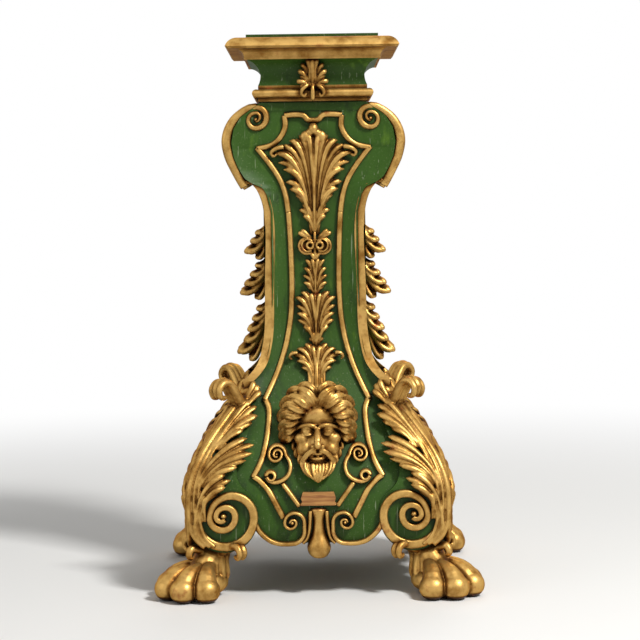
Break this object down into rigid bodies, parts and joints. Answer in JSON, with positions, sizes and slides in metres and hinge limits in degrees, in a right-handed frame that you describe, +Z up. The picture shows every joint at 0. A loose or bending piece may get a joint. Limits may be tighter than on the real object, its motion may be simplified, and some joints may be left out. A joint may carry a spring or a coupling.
{
  "type": "carved pedestal stand",
  "caption": "Square baroque-style wooden pedestal in worn green paint with gilt scrolls, leaves, a mask and lion-paw feet.",
  "frame": {"origin": "centre of the four feet at floor level", "axes": "+Z up, -Y towards the masked front face, +X to the right seen from the front"},
  "size_m": [0.636, 0.636, 1.093],
  "materials": {
    "green_paint": "aged semi-gloss green paint on wood",
    "gilt": "worn gilding over red-brown bole on carved wood",
    "bare_wood": "bare unfinished wood"
  },
  "bodies": {
    "root": {"abacus_board": "gilt", "apron_drop": "gilt", "apron_rim": "gilt", "base_board": "bare_wood", "bed_moulding": "gilt", "calyx_leaf": "gilt", "cartouche_frame": "gilt", "cartouche_plate": "bare_wood", "core_post": "bare_wood", "corner_leaf_back_left": "gilt", "corner_leaf_back_right": "gilt", "corner_leaf_front_left": "gilt", "corner_leaf_front_right": "gilt", "corner_rail_back_left": "gilt", "corner_rail_back_right": "gilt", "corner_rail_front_left": "gilt", "corner_rail_front_right": "gilt", "cornice_cove": "green_paint", "crown_leaf": "gilt", "ear_board_back_left": "green_paint", "ear_board_back_right": "green_paint", "ear_board_front_left": "green_paint", "ear_board_front_right": "green_paint", "ear_rim_back_left": "gilt", "ear_rim_back_right": "gilt", "ear_rim_front_left": "gilt", "ear_rim_front_right": "gilt", "foot_dowels": "bare_wood", "leaf_bud": "gilt", "leg_back_left": "green_paint", "leg_back_right": "green_paint", "leg_front_left": "green_paint", "leg_front_right": "green_paint", "leg_volutes_back_left": "gilt", "leg_volutes_back_right": "gilt", "leg_volutes_front_left": "gilt", "leg_volutes_front_right": "gilt", "mask": "gilt", "middle_leaf": "gilt", "neck_flower": "gilt", "neck_moulding": "gilt", "panel_back": "green_paint", "panel_bead_back": "gilt", "panel_bead_front": "gilt", "panel_bead_left": "gilt", "panel_bead_right": "gilt", "panel_front": "green_paint", "panel_left": "green_paint", "panel_right": "green_paint", "paw_foot_back_left": "gilt", "paw_foot_back_right": "gilt", "paw_foot_front_left": "gilt", "paw_foot_front_right": "gilt", "pendants_left": "gilt", "pendants_right": "gilt", "scroll_rosette": "gilt", "small_leaf": "gilt", "top_dowel": "bare_wood", "top_plate": "green_paint"}
  },
  "joints": []
}
